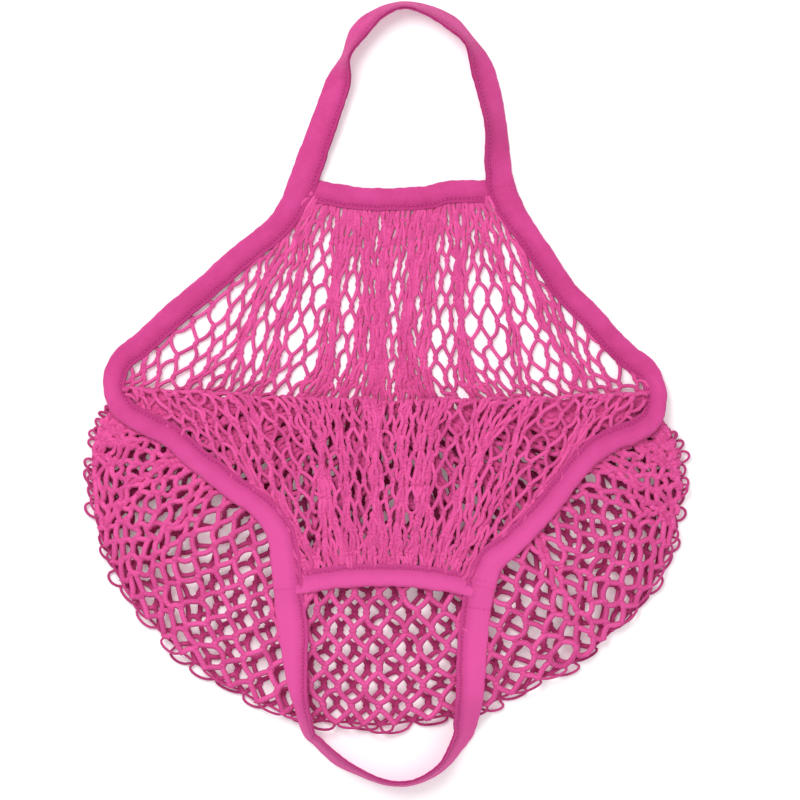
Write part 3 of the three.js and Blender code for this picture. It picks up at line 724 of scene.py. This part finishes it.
back_left = inner_edge(first_row["left_binding"] + 0.2, CORNER_PLACES["left"])
back_right = inner_edge(first_row["back_handle"] + len(tape_table) - 0.2, CORNER_PLACES["right"])
front_left = inner_edge(first_row["front_handle"] - 0.2, CORNER_PLACES["left"])
front_right = inner_edge(first_row["right_binding"] + 0.2, CORNER_PLACES["right"])
mouth_left, mouth_right = back_left[-1, :2], back_right[-1, :2]
rim_inner = [(x * (HALF_POUCH - LOOP_ROOM) + LAY[0], -y * POUCH_DEPTH + LAY[1]) for x, y in RIM_ROWS]
rim = smooth_open(np.vstack([mouth_left, rim_inner, mouth_right]), 400)
rim_middle = rim.mean(axis=0)


def mouth_line(x):
    share = np.clip((x - mouth_left[0]) / (mouth_right[0] - mouth_left[0]), 0, 1)
    line = mouth_left[1] + share * (mouth_right[1] - mouth_left[1])
    return line - (MOUTH_SAG + 2.2 * ripple(x, 52.0, 0.4)) * np.sin(np.pi * share)


def fold_lift(points):
    past = points[:, 1] - mouth_line(points[:, 0])
    return FOLD_RADIUS * (1 - np.cos(np.clip(past / FOLD_RADIUS, 0, np.pi)))


def unfold(points):
    """Where points of the turned-down panel would lie if it stood up from the mouth line again."""
    line = mouth_line(points[:, 0])
    plan = np.column_stack([points[:, 0], 2 * line - points[:, 1] + np.pi * FOLD_RADIUS])
    return np.column_stack([plan, points[:, 2] - fold_lift(plan)])


def fold(points):
    """Turns what stands above the mouth line over and down, round a soft fold."""
    line = mouth_line(points[:, 0])
    past = points[:, 1] - line
    turn = np.clip(past / FOLD_RADIUS, 0, np.pi)
    beyond = np.maximum(past - np.pi * FOLD_RADIUS, 0)
    y = np.where(past < 0, points[:, 1], line + FOLD_RADIUS * np.sin(turn) - beyond)
    return np.column_stack([points[:, 0], y, points[:, 2] + fold_lift(points)])


def seat_distances(points, edges):
    """Distances to the band and to the left and right binding, and the height of each seat there."""
    band, left, right = edges
    order = np.argsort(band[:, 0])
    top = np.interp(points[:, 0], band[order, 0], band[order, 1])
    distances, heights = [top - points[:, 1]], [np.interp(points[:, 0], band[order, 0], band[order, 2])]
    for edge, side in ((left, 1), (right, -1)):
        order = np.argsort(edge[:, 1])
        x, z = (np.interp(points[:, 1], edge[order, 1], edge[order, n]) for n in (0, 2))
        outside_panel = points[:, 1] < edge[:, 1].min()
        distances.append(np.where(outside_panel, 1e3, side * (points[:, 0] - x) * BINDING_SLANT))
        heights.append(z)
    return np.array(distances), np.array(heights)


def crowd(shares, crowding):
    """Draws shares of a length together towards its middle, or apart where the crowding is below 0."""
    return shares + crowding / (2 * np.pi) * np.sin(2 * np.pi * shares)


def spread_lattice(band, crowding, columns, rows):
    """Plan points of the lattice, from the pouch's rim over the mouth line to the band and beyond."""
    u = columns / HALF_COLUMNS
    at_rim = share_of(rim, crowd(u, RIM_CROWDING))
    x = mouth_left[0] + crowd(u, crowding) * (mouth_right[0] - mouth_left[0])
    at_mouth = np.stack([x, mouth_line(x)], axis=-1)
    at_band = share_of(band[:, :2], np.clip((u - BAND_REACH) / (1 - 2 * BAND_REACH), 0, 1))
    past = np.minimum(u - BAND_REACH, 0) + np.maximum(u - 1 + BAND_REACH, 0)
    at_band[..., 0] += past * BEYOND_BAND
    pouch = np.clip((rows + 0.5) / (POUCH_ROWS + 0.5), 0, 1)[..., None]
    panel = ((rows - POUCH_ROWS) / PANEL_ROWS).clip(0, None)[..., None]
    narrowed = np.concatenate([pouch**POUCH_WAIST, pouch], axis=-1)
    drawn = np.concatenate([panel**PANEL_WAIST, panel], axis=-1)
    plan = np.where(rows[..., None] < POUCH_ROWS, at_rim + narrowed * (at_mouth - at_rim),
                    at_mouth + drawn * (at_band - at_mouth))
    for _ in range(6):
        plan[2:-2] = (plan[1:-3] + 2 * plan[2:-2] + plan[3:-1]) / 4
    return plan


def slide_in_gathers(plan, columns, rows, from_side, parity):
    """Slides the string in its gathers, so that meshes close up in some places and gape in others."""
    across, down = np.gradient(plan, axis=1), np.gradient(plan, axis=0)
    free = np.clip(np.minimum(from_side, rows * 2 + 1) / 4, 0, 1)
    gathered = 0.5 + 0.8 * np.clip((rows - POUCH_ROWS) / 3, 0, 1)
    gathered = gathered * np.clip((POUCH_ROWS + PANEL_ROWS - rows) / 3.5, 0.15, 1)
    drift = np.zeros(plan.shape[:2])
    for wavelength, reach in DRIFTS:
        phase = rng.uniform(0, 2 * np.pi) + 1.3 * ripple(rows, 19.0, wavelength)
        drift += reach * np.sin(2 * np.pi * columns / wavelength + phase)
    sway = ripple(columns * 1.3 + rows * 0.4, 9.7, parity + 2.0) + 0.6 * ripple(rows + 0.5 * columns, 13.0, 4.0)
    spacing = np.linalg.norm(across, axis=2, keepdims=True)
    chance = rng.normal(0, 1, plan.shape) * np.minimum(0.35 * spacing, 1.2)
    plan = plan + (across * (drift * gathered)[..., None] + chance) * free[..., None]
    return plan + down * (0.4 * sway * free)[..., None]


def end_at_seams(points, strands, edges):
    """The tapes hold the net all round: a strand that crosses a seam is turned to it and ends there."""
    inside = seat_distances(points, edges)[0].min(axis=0) > 0
    strands = strands[inside[strands].any(axis=1)]
    cut = ~inside[strands].all(axis=1)
    turned = cut & ~inside[strands[:, 0]]
    strands[turned] = strands[turned][:, ::-1]
    near, far = points[strands[cut, 0]], points[strands[cut, 1]]
    low, high = np.zeros(len(near)), np.ones(len(near))
    for _ in range(12):
        middle = (low + high) / 2
        kept = seat_distances(near + (far - near) * middle[:, None], edges)[0].min(axis=0) > 0
        low, high = np.where(kept, middle, low), np.where(kept, high, middle)
    seams = near + (far - near) * low[:, None]
    strands[cut, 1] = len(points) + np.arange(cut.sum())
    rest = np.full(len(strands), STRAND)
    rest[cut] = np.maximum(STRAND * low, np.linalg.norm(seams - near, axis=1))
    return strands, seams, rest, inside, turned


def draw_together(points, strands, rest, fixed):
    """No strand is longer than its string: taut ones draw their knots together."""
    share = np.bincount(strands.ravel(), minlength=len(points)).clip(1)[:, None]
    for _ in range(160):
        gap = points[strands[:, 1]] - points[strands[:, 0]]
        length = np.linalg.norm(gap, axis=1)
        pull = gap * (0.5 * np.maximum(length - rest, 0) / np.maximum(length, 1e-6))[:, None]
        shift = np.zeros_like(points)
        np.add.at(shift, strands[:, 0], pull)
        np.add.at(shift, strands[:, 1], -pull)
        points += np.where(fixed[:, None], 0, 1.6 * shift / share)


def seated_level(points, edges, free_level):
    """Heights of the knots: each lies on what is under it, and rises to its seat in the tape."""
    distances, heights = seat_distances(points, edges)
    weights = np.exp(-np.abs(distances) / 9.0) + 1e-12
    seat = (weights * heights).sum(axis=0) / weights.sum(axis=0)
    nearest = np.abs(distances).min(axis=0)
    level = free_level(points) + rng.normal(0, 0.4, len(points)) * np.clip(nearest / 30, 0, 1)
    return level + (seat - level) * np.exp(-np.maximum(nearest - 4, 0) / 16.0)


def lay_half(edges, parity, free_level, crowding):
    """Knots and strands of half the net, its rim row, which knots are real, and their ways upward."""
    columns, rows = np.meshgrid(np.arange(HALF_COLUMNS + 1), np.arange(HALF_ROWS + 1))
    from_side = np.minimum(columns, HALF_COLUMNS - columns)
    plan = spread_lattice(edges[0], crowding, columns, rows)
    plan = slide_in_gathers(plan, columns, rows, from_side, parity)
    knotted = (columns + rows) % 2 == parity
    number = np.full(plan.shape[:2], -1)
    number[knotted] = np.arange(knotted.sum())
    points = plan[knotted]
    upward = np.gradient(plan, axis=0)[knotted]
    upward /= np.maximum(np.linalg.norm(upward, axis=1), 1e-6)[:, None]
    upward[(rows == 0)[knotted]] = 0
    strands = []
    for start, end in ((number[:-1, 1:], number[1:, :-1]), (number[:-1, :-1], number[1:, 1:])):
        both = (start >= 0) & (end >= 0)
        strands.append(np.column_stack([start[both], end[both]]))
    strands, seams, rest, inside, turned = end_at_seams(points, np.vstack(strands), edges)
    ends = (0, len(seams))
    fixed = np.pad(((rows == 0) | (from_side == 0))[knotted], ends, constant_values=True)
    points = np.vstack([points, seams])
    draw_together(points, strands, rest, fixed)
    strands[turned] = strands[turned][:, ::-1]
    knots = np.column_stack([points, seated_level(points, edges, free_level)])
    return knots, strands, number[0], np.pad(inside & (from_side > 0)[knotted], ends), np.pad(upward, (ends, (0, 1)))


JOINT_REACH = 1.9
JOINT_OVERLAP = 0.6
JOINT_SPREAD = 0.75
WIDEST_BOW = 3.4


def rim_distance(points):
    step = points[:, None, :2] - rim[None, ::4]
    return np.linalg.norm(step, axis=2).min(axis=1)


def strand_paths(knots, strands, upward, drop):
    """Five points along every strand, from joint to joint: slack string bows out to one side."""
    start = knots[strands[:, 0]] + upward[strands[:, 0]] * JOINT_REACH
    end = knots[strands[:, 1]] - upward[strands[:, 1]] * JOINT_REACH
    chord = end - start
    length = np.linalg.norm(chord, axis=1)
    # a shallow arc rises by the root of 3/8 of its chord times what it is longer than that
    slack = np.sqrt(0.375 * length * np.clip(STRAND - length, 0, None))
    middle = (start + end) / 2
    bow = np.clip(slack, 0, WIDEST_BOW) * (
        0.6 * ripple(middle[:, 0] + 0.3 * middle[:, 1], 27.0, 1.7) + rng.uniform(-0.45, 0.45, len(length))
    )
    side = np.column_stack([-chord[:, 1], chord[:, 0], np.zeros(len(chord))])
    side /= np.maximum(np.linalg.norm(side, axis=1), 1e-6)[:, None]
    lift = rng.uniform(-0.5, 1.0, len(length)) * drop
    paths = []
    for share in (0.0, 0.25, 0.5, 0.75, 1.0):
        arch = math.sin(math.pi * share)
        point = start + chord * share + side * (bow * arch)[:, None]
        point[:, 2] += lift * arch
        paths.append(point)
    return np.stack(paths, axis=1)


def joint_paths(knots, upward, real):
    """Two short strings side by side through every knot above the rim, which draw its strands together."""
    joined = real & upward.any(axis=1)
    beside = np.column_stack([-upward[joined, 1], upward[joined, 0], np.zeros(joined.sum())]) * JOINT_SPREAD
    ends = upward[joined] * (JOINT_REACH + JOINT_OVERLAP)
    return np.concatenate([
        np.stack([knots[joined] - ends, knots[joined] + side * beside, knots[joined] + ends], axis=1)
        for side in (-1, 1)
    ])


LOW_STRING = 1.6
RISE_LENGTH = 15.0


def back_level(points):
    return LOW_STRING + 0.45 * (1 + ripple(points[:, 0] + 0.6 * points[:, 1], 47.0, 2.9))


def front_level(points):
    swell = 0.9 * ripple(points[:, 0] + 0.6 * points[:, 1], 61.0, 2.2)
    return RIM_LEVEL + 1.4 + (POUCH_LEVEL - RIM_LEVEL) * (1 - np.exp(-rim_distance(points) / RISE_LENGTH)) + swell


back_knots, back_strands, back_rim, back_real, back_upward = lay_half(
    (band_edge(back_band)[::-1], back_left, back_right), 0, back_level, BACK_CROWDING
)
front_knots, front_strands, front_rim, front_real, front_upward = lay_half(
    [unfold(edge) for edge in (band_edge(front_band), front_left, front_right)], 1, front_level, FRONT_CROWDING
)
back_paths = strand_paths(back_knots, back_strands, back_upward, 1.0)
back_joints = joint_paths(back_knots, back_upward, back_real)
front_paths = strand_paths(front_knots, front_strands, front_upward, 1.3)
front_joints = joint_paths(front_knots, front_upward, front_real)

# At the rim the string turns up from the lower wall into the upper one, in rounded uneven loops. For each
# wall: its knots, its rim row, how far its loops stand out, and the share of places without one.
LOOP_POINTS = 9
LOOP_LEAN = 2.5
LOOP_SETS = ((back_knots, back_rim, (4.0, 9.5), 0.15), (front_knots, front_rim, (0.5, 6.5), 0.35))
rim_strands, loops = [], []
for column in range(1, HALF_COLUMNS):
    for side in (-1, 1):
        behind, ahead = back_rim[column], front_rim[column + side]
        if behind >= 0 and ahead >= 0:
            rim_strands.append(np.linspace(back_knots[behind], front_knots[ahead], 5))
    for knots, row, bulges, missing in LOOP_SETS:
        if column + 2 > HALF_COLUMNS or row[column] < 0 or rng.random() < missing:
            continue
        start, end = knots[row[column]], knots[row[column + 2]]
        outward = (start + end)[:2] / 2 - rim_middle
        outward = np.append(outward / np.linalg.norm(outward), 0.0)
        lean = np.cross(outward, (0, 0, 1)) * rng.uniform(-LOOP_LEAN, LOOP_LEAN)
        share = np.linspace(0, 1, LOOP_POINTS)[:, None]
        round_tip = (1 - np.abs(2 * share - 1) ** 2.4) ** (1 / 1.9)
        loop = start + (end - start) * share + (outward * rng.uniform(*bulges) + lean) * round_tip
        loop[:, 2] += rng.uniform(0.0, 1.5) * np.sin(np.pi * share[:, 0])
        loops.append(loop)

# Cotton string: two plies twisted together, matt, with each strand a slightly different tone, and painted shade
# in the grooves between the plies.
PLY_PITCH = 2.8
string_cotton, tree, shader = new_material("hot_pink_twisted_string")
along_value = add_node(tree, "ShaderNodeAttribute", attribute_name="along")
around_value = add_node(tree, "ShaderNodeAttribute", attribute_name="around")
tone_value = add_node(tree, "ShaderNodeAttribute", attribute_name="tone")
around_axes = add_node(tree, "ShaderNodeSeparateXYZ", {0: around_value.outputs["Vector"]})
angle = add_math(tree, "ARCTAN2", around_axes.outputs[1], around_axes.outputs[0])
advance = add_math(tree, "MULTIPLY", along_value.outputs["Fac"], 2 * math.pi / (PLY_PITCH * MM))
plies = add_math(tree, "SINE", add_math(tree, "MULTIPLY_ADD", angle, 2.0, advance))
fibre = grain(tree, 700.0, 3.0, 0.7)
string_base = mix_colours(tree, tone_value.outputs["Fac"], (0.36, 0.010, 0.110, 1.0), (0.78, 0.094, 0.338, 1.0))
string_fuzz = mix_colours(tree, add_math(tree, "MULTIPLY", fibre, 0.28), string_base, (0.86, 0.18, 0.46, 1.0))
# painted shade in the grooves between the plies
set_inputs(tree, shader, {
    "Base Color": mix_colours(tree, add_math(tree, "MULTIPLY_ADD", plies, -0.07, 0.07), string_fuzz, PAINTED_SHADE_PINK),
    "Normal": relief(tree, add_math(tree, "MULTIPLY_ADD", plies, 0.7, fibre), 0.25, 0.0003),
    "Roughness": 0.95, "Specular IOR Level": 0.12,
    "Sheen Weight": 0.2, "Sheen Roughness": 0.45, "Sheen Tint": (1.0, 0.60, 0.80, 1.0),
})

net_tree, net_sizes = new_tree(
    "knotted_string", [("String diameter", "Float"), ("Knot radius", "Float"), ("Cotton", "Material")]
)
string_radius = add_node(net_tree, "ShaderNodeMath", {0: net_sizes.outputs[1], 1: 0.5}, operation="MULTIPLY")
is_knot = add_node(net_tree, "GeometryNodeInputNamedAttribute", {"Name": "is_knot"}, data_type="BOOLEAN")
net_parts = add_node(
    net_tree, "GeometryNodeSeparateGeometry",
    {"Geometry": net_sizes.outputs[0], "Selection": is_knot.outputs["Attribute"]}, domain="POINT",
)
net_lines = add_node(net_tree, "GeometryNodeMeshToCurve", {"Mesh": net_parts.outputs["Inverted"]})
string_travel = add_node(net_tree, "GeometryNodeSplineParameter")
along_string = add_node(
    net_tree, "GeometryNodeStoreNamedAttribute",
    {"Geometry": net_lines.outputs[0], "Name": "along", "Value": string_travel.outputs["Length"]},
    data_type="FLOAT", domain="POINT",
)
string_round = add_node(
    net_tree, "GeometryNodeCurvePrimitiveCircle", {"Resolution": 5, "Radius": string_radius.outputs[0]}
)
round_place = add_node(net_tree, "GeometryNodeInputPosition")
round_way = add_node(net_tree, "ShaderNodeVectorMath", {0: round_place.outputs[0]}, operation="NORMALIZE")
around_string = add_node(
    net_tree, "GeometryNodeStoreNamedAttribute",
    {"Geometry": string_round.outputs[0], "Name": "around", "Value": round_way.outputs[0]},
    data_type="FLOAT_VECTOR", domain="POINT",
)
strings = add_node(
    net_tree, "GeometryNodeCurveToMesh",
    {"Curve": along_string.outputs[0], "Profile Curve": around_string.outputs[0], "Fill Caps": True},
)
wrap_ring = add_node(net_tree, "GeometryNodeCurvePrimitiveCircle", {"Resolution": 6, "Radius": net_sizes.outputs[2]})
wrap_thickness = add_node(net_tree, "ShaderNodeMath", {0: net_sizes.outputs[1], 1: 0.3}, operation="MULTIPLY")
wrap_round = add_node(
    net_tree, "GeometryNodeCurvePrimitiveCircle", {"Resolution": 4, "Radius": wrap_thickness.outputs[0]}
)
wrap = add_node(
    net_tree, "GeometryNodeCurveToMesh", {"Curve": wrap_ring.outputs[0], "Profile Curve": wrap_round.outputs[0]}
)
knot_turn = add_node(net_tree, "GeometryNodeInputNamedAttribute", {"Name": "knot_turn"}, data_type="FLOAT")
knot_spin = add_node(net_tree, "ShaderNodeCombineXYZ", {"X": math.pi / 2, "Z": knot_turn.outputs["Attribute"]})
knot_wraps = add_node(
    net_tree, "GeometryNodeInstanceOnPoints",
    {"Points": net_parts.outputs["Selection"], "Instance": wrap.outputs[0], "Rotation": knot_spin.outputs[0]},
)
whole_net = add_node(net_tree, "GeometryNodeJoinGeometry")
net_tree.links.new(strings.outputs[0], whole_net.inputs[0])
net_tree.links.new(knot_wraps.outputs[0], whole_net.inputs[0])
end_tree(net_tree, whole_net.outputs[0], net_sizes.outputs[3])


def above_mouth(points):
    return points[:, 1] > mouth_line(points[:, 0])


def part_of(above, paths, joints, knots, real):
    """The strings and the knots of one half of the net on one side of the mouth line."""
    lines = [*paths[above_mouth(paths[:, 2]) == above], *joints[above_mouth(joints[:, 1]) == above]]
    return lines, knots[real & (above_mouth(knots) == above)]


def turn_down(stretch):
    lines, knots = stretch
    return [fold(line) for line in lines], fold(knots)


back_net = (back_paths, back_joints, back_knots, back_real)
front_net = (front_paths, front_joints, front_knots, front_real)
stretches = {
    "back_panel_net": part_of(True, *back_net),
    "pouch_back_net": part_of(False, *back_net),
    "pouch_rim_net": ([*rim_strands, *loops], back_knots[back_rim[back_rim >= 0]]),
    "pouch_front_net": turn_down(part_of(False, *front_net)),
    "turned_down_net": turn_down(part_of(True, *front_net)),
}
# how each stretch lies and on what, how thick its string and its knots are where it is slack or taut,
# and its lightest tone: the lower wall of the pouch and its rim strands, inside and underneath, are darker with
# painted shade
LYING = {
    "back_panel_net": ("gathered", ["back_band_tape", "left_binding_tape", "right_binding_tape"], 2.9, 1.2, 1.0),
    "pouch_back_net": ("laid", ["back_panel_net"], 3.8, 1.5, 0.65),
    "pouch_rim_net": ("laid", ["pouch_back_net"], 2.0, 1.2, 0.45),
    "pouch_front_net": ("laid", ["pouch_back_net"], 4.3, 1.8, 1.0),
    "turned_down_net": ("gathered", ["pouch_front_net"], 3.0, 1.4, 1.0),
}
TONE_SPREAD = 0.5
for name, (paths, knots) in stretches.items():
    net = line_mesh(name, paths, knots)
    diameter, knot, lightest = LYING[name][2:]
    line_counts = [len(path) for path in paths]
    loose_from = sum(line_counts)
    count = loose_from + len(knots)
    store(net, "is_knot", "BOOLEAN", np.arange(count) >= loose_from)
    store(net, "knot_turn", "FLOAT", rng.uniform(-0.4, 0.4, count))
    shades = np.concatenate([np.repeat(rng.uniform(0, 1, len(paths)), line_counts), rng.uniform(0, 1, len(knots))])
    # each strand's tone is random, lowered by painted shade on the pouch's lower wall and rim
    store(net, "tone", "FLOAT", lightest - TONE_SPREAD * shades * min(1, 2 * lightest))
    apply_tree(net, net_tree, {"String diameter": diameter * MM, "Knot radius": knot * MM, "Cotton": string_cotton})
    rest_on_table(net)
    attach(net, "root")
    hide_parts("net_body")

for name, (paths, knots) in stretches.items():
    held, below, diameter = LYING[name][:3]
